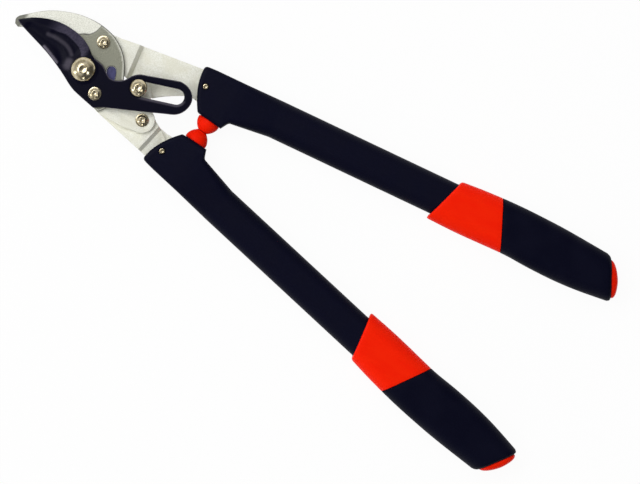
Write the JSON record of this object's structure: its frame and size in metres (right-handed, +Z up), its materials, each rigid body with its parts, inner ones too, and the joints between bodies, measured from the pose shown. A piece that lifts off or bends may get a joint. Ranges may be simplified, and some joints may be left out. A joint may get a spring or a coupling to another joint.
{
  "type": "lopper",
  "caption": "Compound-action bypass lopper: coated blade with a slotted arm, steel hook, linked tangs and two long handles with red collars and soft grips.",
  "frame": {"origin": "on the table under the middle of the closed tool's bounding box", "axes": "+X from the blade tip to the handle ends along the line that halves the handles, +Y to the upper handle of the picture, +Z up, out of the side with the bolt heads"},
  "size_m": [0.5567, 0.2147, 0.0384],
  "materials": {
    "zinc_plated_steel": "bright zinc-plated sheet steel, lightly brushed",
    "hook_steel": "ground and zinc-plated carbon steel",
    "coated_steel": "dark navy non-stick coating, satin",
    "nickel_plated_steel": "warm bright nickel plating",
    "navy_plastic": "fibre-filled nylon moulding, near-black navy, satin",
    "navy_rubber": "soft thermoplastic rubber, near-black navy",
    "red_plastic": "orange-red plastic, semi-gloss",
    "red_rubber": "orange-red soft rubber",
    "bare_aluminium": "extruded aluminium, mill finish",
    "blue_nylon": "blue-grey nylon"
  },
  "bodies": {
    "lower_lever": {"lower_tang": "zinc_plated_steel", "lower_handle": "navy_plastic", "lower_core_tube": "bare_aluminium", "lower_bumper": "red_rubber", "lower_collar": "red_plastic", "lower_grip": "navy_rubber", "lower_end_cap": "red_plastic", "lower_rivet": "nickel_plated_steel", "link_bolt": "nickel_plated_steel", "link_nut": "nickel_plated_steel"},
    "upper_lever": {"upper_tang": "zinc_plated_steel", "upper_handle": "navy_plastic", "upper_core_tube": "bare_aluminium", "upper_bumper": "red_rubber", "upper_collar": "red_plastic", "upper_grip": "navy_rubber", "upper_end_cap": "red_plastic", "upper_rivet": "nickel_plated_steel", "slide_bolt": "nickel_plated_steel", "slide_sleeve": "zinc_plated_steel", "slide_nut": "nickel_plated_steel"},
    "hook_plate": {"hook": "hook_steel", "hook_bolt": "nickel_plated_steel", "hook_nut": "nickel_plated_steel", "pin_stop": "blue_nylon"},
    "cutting_blade": {"blade": "coated_steel", "blade_pin": "nickel_plated_steel", "main_bolt": "nickel_plated_steel", "main_washer": "nickel_plated_steel", "main_nut": "nickel_plated_steel"},
    "link_bar": {"link": "zinc_plated_steel"}
  },
  "joints": [
    {"name": "handle_pivot", "type": "hinge", "parent": "lower_lever", "child": "upper_lever", "pos_m": [-0.1603, 0.00045, 0.02], "axis": [0, 0, 1], "range_deg": [0, 60]},
    {"name": "hook_pivot", "type": "hinge", "parent": "upper_lever", "child": "hook_plate", "pos_m": [-0.2061, 0.01585, 0.02], "axis": [0, 0, 1], "range_deg": [-50.5, 0]},
    {"name": "blade_pivot", "type": "hinge", "parent": "hook_plate", "child": "cutting_blade", "pos_m": [-0.2075, -0.01255, 0.02], "axis": [0, 0, 1], "range_deg": [0, 35.1]},
    {"name": "link_pivot", "type": "hinge", "parent": "lower_lever", "child": "link_bar", "pos_m": [-0.1428, -0.02015, 0.02], "axis": [0, 0, 1], "range_deg": [0, 44.7]}
  ],
  "couplings": [
    {"joint": "hook_pivot", "follows": "handle_pivot", "ratio": -0.839},
    {"joint": "blade_pivot", "follows": "handle_pivot", "ratio": 0.582},
    {"joint": "link_pivot", "follows": "handle_pivot", "ratio": 0.742}
  ]
}
